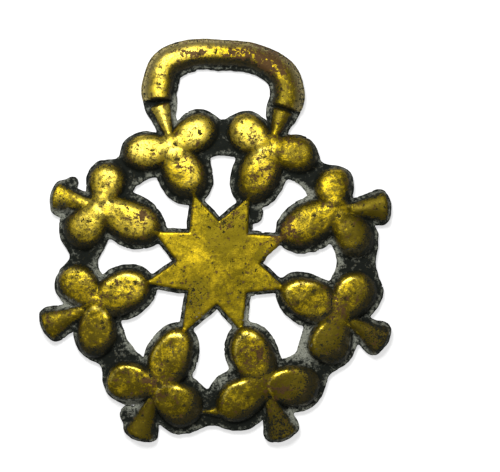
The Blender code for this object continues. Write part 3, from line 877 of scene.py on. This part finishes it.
def back_mesh(base, starts, ends, first, shape):
    """The flat back: the wall's last row and a coarse grid inside it, filled with triangles
    that face down. Returns the grid's points, and the triangles numbered from the row's first
    point."""
    x, y = plan_grid(BACK_STEP, 3 * shape.grid_step)
    well_in = outline_distance(x, y, shape) < -BACK_MARGIN
    extra = np.stack([x[well_in], y[well_in]], -1)
    flat = np.concatenate([base, extra])
    verts, _, filled, originals, *_ = delaunay_2d_cdt(
        list(map(Vector, flat.tolist())), np.stack([starts, ends], -1).tolist(), [], 0, 1e-7)
    if len(verts) != len(flat):
        raise RuntimeError("the back's outline crosses itself")
    found = np.array([vert[:] for vert in verts])
    filled = np.array(filled)
    filled = filled[within(found[filled].mean(axis=1), base[starts], base[ends])]
    filled = np.array(originals).ravel()[filled]
    order = flat[filled]
    turn = np.cross(order[:, 1] - order[:, 0], order[:, 2] - order[:, 0])
    filled = np.where((turn > 0)[:, None], filled[:, ::-1], filled)
    return np.column_stack([extra, np.zeros(len(extra))]), filled + first


def casting_mesh(shape):
    """The whole casting as one closed surface: the face, the wall along its outline and the
    flat back. Returns the points, the triangles and the values that the finish reads."""
    face, faces, values = face_mesh(shape)
    rim_edges = border(faces)
    rim = np.unique(rim_edges)
    starts, ends = np.searchsorted(rim, rim_edges).T
    rows, walls, carried = wall_mesh(face, values, starts, ends, rim, shape)
    first = len(face) + (len(rows) - 1) * len(rim)
    extra, back = back_mesh(rows[-1][:, :2], starts, ends, first, shape)
    points = np.concatenate([face] + rows + [extra])
    values = {name: np.concatenate([value] + carried[name] + [np.zeros(len(extra))])
              for name, value in values.items()}
    values["edge"][len(face):] = WALL_GRIT
    return points, np.concatenate([faces] + walls + [back]), values


# The finish's noise: size of its features in mm, detail and roughness
BROAD = (5.0, 3.0, 0.5)
COARSE = (1.6, 4.0, 0.6)
MEDIUM = (0.7, 3.0, 0.6)
FINE = (0.32, 2.0, 0.75)
# Spacing of the casting's pits and specks, and depth of the finest relief, mm
PIT_SPACING = 1.7
SPECK_SPACING = 0.55
BUMP_DEPTH = 0.1
# Scratches on the star: their direction in degrees, how long they are for their width, the
# width in mm, and the levels of noise that they start and are deepest at
SCRATCHES = [(4, 22.0, 0.16, 0.62, 0.72), (62, 16.0, 0.2, 0.64, 0.74)]


def math_operator(operation, reflected=False):
    """An operator that adds a Math node."""
    def apply(self, other):
        first, second = (other, self) if reflected else (self, other)
        return self.math(operation, first, second)
    return apply


class Number:
    """A number socket that takes part in Python arithmetic: each operator adds a Math node."""

    def __init__(self, graph, socket):
        self.graph, self.socket = graph, socket

    def math(self, operation, first, second, clamp=False):
        return self.graph.add("ShaderNodeMath", {"operation": operation, "use_clamp": clamp},
                              {0: first, 1: second})[0]

    __add__ = __radd__ = math_operator("ADD")
    __sub__ = math_operator("SUBTRACT")
    __rsub__ = math_operator("SUBTRACT", reflected=True)
    __mul__ = __rmul__ = math_operator("MULTIPLY")
    at_least = math_operator("MAXIMUM")

    def held(self):
        """Kept between 0 and 1."""
        return self.math("ADD", self, 0.0, clamp=True)

    def step(self, low, high):
        """0 below low, 1 above high and smooth between; falls instead where low is higher."""
        ends = (low, high, 0.0, 1.0) if low < high else (high, low, 1.0, 0.0)
        return self.graph.add("ShaderNodeMapRange", {"interpolation_type": "SMOOTHSTEP"},
                              {"Value": self, "From Min": ends[0], "From Max": ends[1],
                               "To Min": ends[2], "To Max": ends[3]})[0]


class Graph:
    """A material's nodes."""

    def __init__(self, material):
        material.use_nodes = True
        self.tree = material.node_tree
        self.tree.nodes.clear()
        place = self.add("ShaderNodeTexCoord", {}, {}, "Object")
        self.mm = self.add("ShaderNodeVectorMath", {"operation": "SCALE"},
                           {0: place, "Scale": 1 / MM}, "Vector")

    def fill(self, socket, value):
        """Links a socket to another, or sets its value; a colour may lack its alpha."""
        if isinstance(value, Number):
            value = value.socket
        if isinstance(value, bpy.types.NodeSocket):
            self.tree.links.new(value, socket)
        elif socket.type == "RGBA":
            socket.default_value = tuple(value)[:3] + (1.0,)
        else:
            socket.default_value = value

    def add(self, kind, settings, sockets, output=None):
        """A node of a kind, its settings made first and then its sockets' values or links.
        Returns its outputs as numbers, or the one output that is asked for, unwrapped."""
        node = self.tree.nodes.new(kind)
        for name, value in settings.items():
            setattr(node, name, value)
        for name, value in sockets.items():
            self.fill(node.inputs[name], value)
        if output is not None:
            return node.outputs[output]
        return [Number(self, socket) for socket in node.outputs]

    def attribute(self, name):
        """A value that the mesh carries at each point."""
        return Number(self, self.add("ShaderNodeAttribute", {"attribute_name": name}, {}, "Fac"))

    def noise(self, size, detail, roughness, vector=None):
        """Noise from 0 to 1 with features of a size in millimetres."""
        socket = self.add("ShaderNodeTexNoise", {},
                          {"Vector": vector or self.mm, "Scale": 1 / size, "Detail": detail,
                           "Roughness": roughness}, "Fac")
        return Number(self, socket)

    def cells(self, size):
        """Distance to the nearest of scattered points, as a share of their spacing in
        millimetres, and a random number for each point."""
        node = self.add("ShaderNodeTexVoronoi", {"feature": "F1"},
                        {"Vector": self.mm, "Scale": 1 / size})
        split = self.add("ShaderNodeSeparateXYZ", {}, {"Vector": node[1]})
        return node[0], split[0]

    def turned(self, degrees, stretch):
        """The piece's place in millimetres, turned, and stretched along the turned x."""
        return self.add("ShaderNodeMapping", {"vector_type": "TEXTURE"},
                        {"Vector": self.mm, "Rotation": (0, 0, math.radians(degrees)),
                         "Scale": (stretch, 1.0, 1.0)}, "Vector")

    def mix(self, share, first, second):
        """A colour between two, by a share."""
        return self.add("ShaderNodeMix", {"data_type": "RGBA"}, {0: share, 6: first, 7: second},
                        2)


def brass_finish(finish):
    """Brass rubbed bright on its crowns, over a dark patina in the recesses, with painted
    highlights along the lit edges and painted shade on the sides away from the light. Noise breaks
    up the border between each state and the next."""
    material = bpy.data.materials.new("rubbed_cast_brass")
    g = Graph(material)
    polish, star, edge, worn_line, tarnish, deposit, outer, grime, flank = map(
        g.attribute, ("polish", "star", "edge", "worn_line", "tarnish", "deposit", "outer",
                      "grime", "flank"))
    # The dullness is partly painted shade, darker further from the brightest place
    dull = g.attribute("dull") * (1 - worn_line * 0.75)
    broad, coarse, medium, fine = (g.noise(*noise) - 0.5 for noise in (BROAD, COARSE, MEDIUM, FINE))

    def mottle(coarse_weight, medium_weight, fine_weight):
        """The three sizes of noise, weighed and added."""
        return coarse * coarse_weight + medium * medium_weight + fine * fine_weight

    # Where the brass is bright: rubbed places less their painted shade, plus the painted edge
    #     # highlights, less grime, pits and specks
    wear = mottle(1.9, 2.1, 3.6) * polish.step(0.0, 0.3) * (1 - polish.step(0.75, 1.0) * 0.4)
    bright = (polish + worn_line * 0.5 - grime * 0.75 + wear).step(0.26, 0.64)
    pit_distance, pit_chance = g.cells(PIT_SPACING)
    pits = ((pit_distance + medium * 1.6 + fine * 0.6 + star * 0.07).step(0.24, 0.13)
            * pit_chance.step(0.6, 0.62))
    speck_distance, speck_chance = g.cells(SPECK_SPACING)
    specks = ((speck_distance + fine * 0.8).step(0.42, 0.22) * speck_chance.step(0.5, 0.55)
              * (coarse + medium * 0.6 + dull * 0.02).step(0.02, 0.12))
    bright = bright * (1 - (pits + specks * 0.85).held() * 0.9)

    # Bright brass: pale to gold to olive, under dark film, dust outside the bar and tarnish. The
    #     # pale is partly a painted highlight on the crowns near the light, and the olive grows
    #     with the
    #     # dullness, which is partly painted shade
    ring = polish.step(0.95, 0.35) * (1 - worn_line) * (1 - outer)
    olive_share = (dull * 1.15 - 0.15 + broad * 2.2 + ring * 0.45
                   + mottle(1.5, 1.8, 1.8) * (1 - star * 0.45)).held()
    pale_and_sheen_share = (polish + worn_line * 0.3 - dull * 0.9 - star * 0.4
                  + mottle(1.2, 1.4, 1.5)).step(0.2, 0.9)
    film_share = (mottle(2.0, 2.0, 1.5) + dull * 0.5 + ring * 0.28 - 0.1).step(0.0, 0.25)
    brown_share = (tarnish * 0.9 + mottle(2.2, 2.0, 1.2) - 0.36).step(0.0, 0.16)
    gold = g.mix(olive_share, g.mix(pale_and_sheen_share, finish.gold, finish.pale), finish.olive)
    gold = g.mix(film_share * (0.62 - star * 0.34), gold, finish.film)
    gold = g.mix(outer * 0.75, gold, finish.dusty)
    gold = g.mix(brown_share * 0.85, gold, finish.tarnish)

    # Recesses: patina with pale grit on it, and dark brass on the forms' flanks
    grit_share = (edge * 0.5 + deposit * 0.7 + mottle(2.6, 1.6, 0.9)).step(0.2, 1.0)
    grit = g.mix((deposit * 0.6 + mottle(1.6, 2.6, 2.6) + 0.3).held(), finish.dark_grit,
                 finish.grit)
    flank_share = (flank + mottle(1.8, 2.2, 4.0)).step(0.4, 1.0)
    recess = g.mix(flank_share * 0.9, g.mix(grit_share, finish.patina, grit), finish.flank)

    # Gloss and the finest relief
    lines = [g.noise(width, 2.0, 0.5, g.turned(degrees, stretch)).step(start, deepest)
             for degrees, stretch, width, start, deepest in SCRATCHES]
    scratches = (lines[0] + lines[1]).held() * star
    metallic = (bright * (1 - brown_share * 0.45)).at_least(flank_share * 0.5)
    roughness = (0.75 - bright * (0.75 - finish.roughness) + brown_share * bright * 0.18
                 + bright * dull * 0.08 - worn_line * 0.12 + fine * 0.2 + medium * 0.15)
    height = ((1 - bright) * (fine * 1.4 + medium * 1.2)
              + bright * mottle(0.7, 0.32, 0.2) * (1 - star * 0.5)
              - pits * 0.5 - specks * 0.3 - scratches * 0.12)
    normal = g.add("ShaderNodeBump", {}, {"Height": height, "Strength": 0.8,
                                          "Distance": BUMP_DEPTH * MM}, "Normal")
    shader = g.add("ShaderNodeBsdfPrincipled", {},
                   {"Base Color": g.mix(bright, recess, gold), "Metallic": metallic,
                    "Roughness": roughness, "Specular IOR Level": 0.15, "Normal": normal},
                   "BSDF")
    g.add("ShaderNodeOutputMaterial", {}, {"Surface": shader})
    return material


def plain_finish(name, colour, roughness, glow):
    """A plain surface for the floor, with a little light of its own to keep it white."""
    material = bpy.data.materials.new(name)
    g = Graph(material)
    shader = g.add("ShaderNodeBsdfPrincipled", {},
                   {"Base Color": colour, "Roughness": roughness,
                    "Emission Color": (1.0, 1.0, 1.0), "Emission Strength": glow}, "BSDF")
    g.add("ShaderNodeOutputMaterial", {}, {"Surface": shader})
    return material


def new_piece(name, points, faces, material):
    """Puts points in millimetres and triangles into a new object."""
    mesh = bpy.data.meshes.new(name)
    mesh.vertices.add(len(points))
    mesh.vertices.foreach_set("co", (points * MM).astype(np.float32).ravel())
    mesh.loops.add(faces.size)
    mesh.loops.foreach_set("vertex_index", faces.astype(np.int32).ravel())
    mesh.polygons.add(len(faces))
    mesh.polygons.foreach_set("loop_start", np.arange(0, faces.size, 3, dtype=np.int32))
    mesh.polygons.foreach_set("use_smooth", np.ones(len(faces), bool))
    mesh.update(calc_edges=True)
    mesh.validate()
    mesh.materials.append(material)
    obj = bpy.data.objects.new(name, mesh)
    bpy.context.scene.collection.objects.link(obj)
    return obj


def size_property(name, default, low, high, description):
    """A size in millimetres that can be changed in the panel."""
    return bpy.props.FloatProperty(name=name, description=description + ", mm", default=default,
                                   min=low, max=high)


def colour_property(name, default, description):
    """A colour that can be changed in the panel."""
    return bpy.props.FloatVectorProperty(name=name, description=description, default=default,
                                         subtype="COLOR", size=3, min=0.0, max=1.0)


class BrassShape(bpy.types.PropertyGroup):
    grid_step: size_property("Grid step", 0.24, 0.15, 2.0, "Spacing of the points")
    leaf_height: size_property("Leaf height", 4.6, 3.0, 4.8, "Crown of a leaf above the back")
    warp: size_property("Warp", 0.3, 0.0, 0.6, "How far the leaves stray from true ovals")
    edge_round: size_property("Star's edge", 0.3, 0.0, 0.6, "How far the star's edge is worn down")
    unevenness: size_property("Unevenness", 0.13, 0.0, 0.3, "Hand-worked unevenness of the crowns")
    grit: size_property("Grit", 0.12, 0.0, 0.3, "Roughness of the plate as cast")
    edge_wave: size_property("Edge wave", 0.2, 0.0, 0.5, "Roughness of the cast outline")
    rim: size_property("Rim", 0.35, 0.1, 0.8, "Radius of the plate's rim")


class BrassFinish(bpy.types.PropertyGroup):
    # Partly a painted highlight: the pale brass stands in for the whitened sheen on the crowns
    pale: colour_property("Pale", (0.86, 0.68, 0.12), "Brass on the most rubbed crowns")
    gold: colour_property("Gold", (0.80, 0.565, 0.018), "Rubbed brass")
    olive: colour_property("Olive", (0.27, 0.205, 0.008), "Duller brass")
    film: colour_property("Film", (0.10, 0.075, 0.014), "Dark film on the brass")
    dusty: colour_property("Dusty", (0.42, 0.36, 0.17), "Dusty brass outside the bar")
    tarnish: colour_property("Tarnish", (0.13, 0.065, 0.03), "Brown tarnish")
    flank: colour_property("Flank", (0.06, 0.047, 0.014), "Dark brass on the forms' flanks")
    patina: colour_property("Patina", (0.012, 0.015, 0.011), "Dark patina in the recesses")
    grit: colour_property("Grit", (0.46, 0.475, 0.39), "Pale grit on the plate's edges")
    dark_grit: colour_property("Dark grit", (0.07, 0.08, 0.062), "Darker grit among it")
    roughness: bpy.props.FloatProperty(name="Roughness", default=0.4, min=0.05, max=1.0,
                                       subtype="FACTOR", description="Of the rubbed brass")


class BrassStage(bpy.types.PropertyGroup):
    floor: colour_property("Floor", (0.86, 0.86, 0.86), "The pale floor")
    glow: bpy.props.FloatProperty(name="Floor's glow", default=0.6, min=0.0,
                                  description="Light of the floor's own")
    key: bpy.props.FloatProperty(name="Key light", default=0.265, min=0.0, unit="POWER",
                                 description="Strength of the soft light from the top left")
    world: bpy.props.FloatProperty(name="Surroundings", default=0.2, min=0.0,
                                   description="Brightness of the room")


# Listed patches: where each is, its radius, and how strong it is
PATCHES = {
    # Brown tarnish
    "tarnish": [
        (10, 41.6, 4.6, 0.9), (4, 43.4, 3, 0.6), (-5.5, 43.6, 3.4, 0.5), (-6.5, 20.5, 2, 0.5),
        (13, 26.5, 2.6, 0.5), (9.5, 18.5, 2.4, 0.5), (-16, 9.5, 2.6, 0.5), (14.5, 7, 2.5, 0.7),
        (25, -9, 3, 0.5), (-13, -26, 3, 0.5), (8, -19, 2.5, 0.6), (12, -27, 3, 0.5),
        (27.5, -21, 2.5, 0.5), (-26, -7, 2, 0.3), (3, 9, 2.5, 0.4), (12, 4.6, 2.2, 0.42),
    ],
    # Pale grit that lies on the plate
    "deposit": [
        (-8, 31.5, 3, 0.7), (-33, 12, 3, 0.9), (-31, -8.5, 3, 0.9), (18, 14.5, 3, 0.8),
        (-9.5, -18, 3.5, 1), (5.5, -11.5, 3.5, 1), (-3.5, -11, 3, 0.7), (27.5, 4.5, 3.5, 0.9),
        (18, -18, 4, 1.1), (-15.5, -14.5, 3.5, 0.6), (0.5, -23.5, 3.5, 0.7), (22, -13.5, 3, 0.7),
        (24, -1, 3, 0.6), (-18, -29.5, 3, 0.8), (17, -33, 3, 0.7), (9, 33, 2.5, 0.4),
        (-24, -2, 2.5, 0.6), (28, -16, 3, 0.6), (2, -27, 3, 0.4), (-18.5, -17, 3, 0.6),
        (12.5, 10.5, 2, 0.7),
    ],
    # Grime that rubbing has not reached
    "grime": [
        (-32.8, 11.2, 1.9, 1), (-31, -13.5, 1.6, 0.5), (-14, -36, 2.6, 0.4),
        (13.5, -34.5, 5, 0.85), (35, -15.5, 5.5, 1), (-12, -34.5, 3, 0.45),
        (18.5, -25.5, 4, 0.35), (23, -18.5, 4, 0.4), (0.8, 8.6, 1.5, 0.75), (3.2, 11, 1.5, 0.6),
        (5.2, 12.8, 1.4, 0.6), (12.5, 4.8, 1.9, 0.5), (17, 9, 3, 0.4), (2.5, 25.5, 3, 0.4),
        (-5.5, -9, 2.6, 0.55), (-4.5, -5, 2.4, 0.4), (-28.3, 9.2, 2.6, 0.5),
        (-34, 14.5, 2.2, 0.35), (-30, 4, 3, 0.35), (-20, 21, 3, 0.3), (-19, -14, 3, 0.3),
        (31, 4, 3, 0.3), (31, -4, 3, 0.3), (5, -31, 2.5, 0.3), (24, -21, 3, 0.4),
        (20, -27.5, 3.5, 0.4), (-4, -32, 3, 0.4), (-9, -20, 2.5, 0.3), (22, 20, 3, 0.35),
    ],
    # Places that rubbing has left duller, or brighter where it is negative
    "dulled": [
        (33.5, 11.6, 5, 0.5), (12.6, 29.5, 3, 0.5), (-33.5, 13.6, 4, 0.3),
        (-34, -12.8, 4.5, 0.35), (-16, -35, 5, 0.5), (13, -34.5, 5.5, 0.8), (33.5, -16, 5.5, 1),
        (16.2, 22.8, 4, 0.6), (27.9, 6.3, 4, 0.4), (23.7, -16.2, 4.5, 0.7), (15.3, -26, 4.5, 0.6),
        (-25.6, -14.5, 4, 0.3), (9, 42, 4.5, 0.6), (13, 38, 4, 0.5), (13.2, 34, 3.5, 0.4),
        (2, 43.5, 4.5, 0.35), (2, 6.5, 7, 0.85), (-4.5, -6.5, 4.5, 0.6), (-10.5, 1.5, 5, -0.2),
        (34, -17, 6, 0.3), (28, -21, 3.5, 0.5), (17.5, -23, 3, 0.3), (-10.5, 24, 8, 0.25),
        (-11, 37.5, 4, 0.3), (-22, 14, 5, 0.1), (-9, 17, 3, 0.3), (6, 17, 3.5, 0.25),
        (5, -28, 3.5, -0.35),
    ],
}
# The dullest that the brass gets, and how dull the star is at least
DULLEST = 1.3
STAR_DULLNESS = 0.7


def patches(x, y, places):
    """The sum of the listed patches, each fading from its middle as a bell curve."""
    total = np.zeros(len(x))
    for cx, cy, radius, strength in places:
        total += strength * np.exp(-((x - cx) ** 2 + (y - cy) ** 2) / radius ** 2)
    return np.clip(total, -1.0, 1.0)


def colour_values(points, star):
    """The patches at each point, and the dullness: the distance from the brightest place, as a
    share of a reach, plus the dulled patches. Its rise with the distance is partly painted shade."""
    x, y = points[:, 0], points[:, 1]
    values = {name: patches(x, y, places) for name, places in PATCHES.items()}
    far = np.hypot(x - BRIGHTEST_PLACE[0], y - BRIGHTEST_PLACE[1]) / DULL_REACH
    dull = np.minimum(far + values.pop("dulled"), DULLEST)
    values["dull"] = np.maximum(dull, STAR_DULLNESS * star)
    return values


class HORSEBRASS_OT_casting(bpy.types.Operator):
    """Make the badge's casting and its finish"""
    bl_idname = "horsebrass.casting"
    bl_label = "Casting"

    def execute(self, context):
        scene = context.scene
        points, faces, values = casting_mesh(scene.brass_shape)
        values.update(colour_values(points, values["star"]))
        piece = new_piece("horse_brass_casting", points, faces, brass_finish(scene.brass_finish))
        for name, value in values.items():
            attribute = piece.data.attributes.new(name, "FLOAT", "POINT")
            attribute.data.foreach_set("value", value.astype(np.float32))
        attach(piece, BODY)
        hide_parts("horse_brass")
        return {"FINISHED"}


def soft_light(name, place, aim, size, power):
    """A square soft light at a place, turned to face another."""
    lamp = bpy.data.lights.new(name, "AREA")
    lamp.size = size
    lamp.energy = power
    obj = bpy.data.objects.new(name, lamp)
    obj.location = place
    obj.visible_camera = False
    obj.rotation_euler = (Vector(aim) - Vector(place)).to_track_quat("-Z", "Y").to_euler()
    bpy.context.scene.collection.objects.link(obj)


# The camera's place in metres, looking straight down, its lens and its sensor's width in
# millimetres, and the nearest that it sees in metres
CAMERA_PLACE = (0.00675, 0.00558, 0.3)
CAMERA_LENS = 101.37
SENSOR_WIDTH = 36.0
NEAREST = 0.01
# The key light's place and width, in metres
KEY_PLACE = (-0.022, 0.085, 0.2)
KEY_SIZE = 0.06
# The floor's half width, and how far it lies under the badge, in millimetres
FLOOR_REACH = 900
FLOOR_DROP = 0.02


class HORSEBRASS_OT_stage(bpy.types.Operator):
    """Make the floor, the lights and the camera"""
    bl_idname = "horsebrass.stage"
    bl_label = "Stage"

    def execute(self, context):
        scene = context.scene
        stage = scene.brass_stage
        corners = np.array([(-1, -1, 0), (1, -1, 0), (1, 1, 0), (-1, 1, 0)]) * FLOOR_REACH
        floor = new_piece("floor", corners - (0, 0, FLOOR_DROP), np.array([(0, 1, 2), (0, 2, 3)]),
                          plain_finish("pale_floor", stage.floor, 0.9, stage.glow))
        soft_light("key_light", KEY_PLACE, (0, 0, 0), KEY_SIZE, stage.key)
        world = bpy.data.worlds.new("room")
        world.use_nodes = True
        background = world.node_tree.nodes["Background"]
        background.inputs["Color"].default_value = (1.0, 1.0, 1.0, 1.0)
        background.inputs["Strength"].default_value = stage.world
        scene.world = world
        scene.view_settings.view_transform = "Standard"
        camera = bpy.data.objects.new("camera", bpy.data.cameras.new("camera"))
        camera.location = CAMERA_PLACE
        camera.data.sensor_width = SENSOR_WIDTH
        camera.data.lens = CAMERA_LENS
        camera.data.clip_start = NEAREST
        scene.collection.objects.link(camera)
        scene.camera = camera
        return {"FINISHED"}


class HORSEBRASS_PT_panel(bpy.types.Panel):
    """The badge's sizes and colours, and what makes it"""
    bl_label = "Horse brass"
    bl_space_type = "VIEW_3D"
    bl_region_type = "UI"
    bl_category = "Horse brass"

    def draw(self, context):
        layout = self.layout
        for title, group in (("Shape", context.scene.brass_shape),
                             ("Finish", context.scene.brass_finish),
                             ("Stage", context.scene.brass_stage)):
            box = layout.box()
            box.label(text=title)
            for name in group.__annotations__:
                box.prop(group, name)
        layout.operator("horsebrass.casting")
        layout.operator("horsebrass.stage")


CLASSES = (BrassShape, BrassFinish, BrassStage, HORSEBRASS_OT_casting, HORSEBRASS_OT_stage,
           HORSEBRASS_PT_panel)


def register():
    for cls in CLASSES:
        bpy.utils.register_class(cls)
    bpy.types.Scene.brass_shape = bpy.props.PointerProperty(type=BrassShape)
    bpy.types.Scene.brass_finish = bpy.props.PointerProperty(type=BrassFinish)
    bpy.types.Scene.brass_stage = bpy.props.PointerProperty(type=BrassStage)


def unregister():
    del bpy.types.Scene.brass_shape
    del bpy.types.Scene.brass_finish
    del bpy.types.Scene.brass_stage
    for cls in reversed(CLASSES):
        bpy.utils.unregister_class(cls)


def main():
    register()
    bpy.ops.horsebrass.casting()
    bpy.ops.horsebrass.stage()
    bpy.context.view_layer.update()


if __name__ == "__main__":
    main()
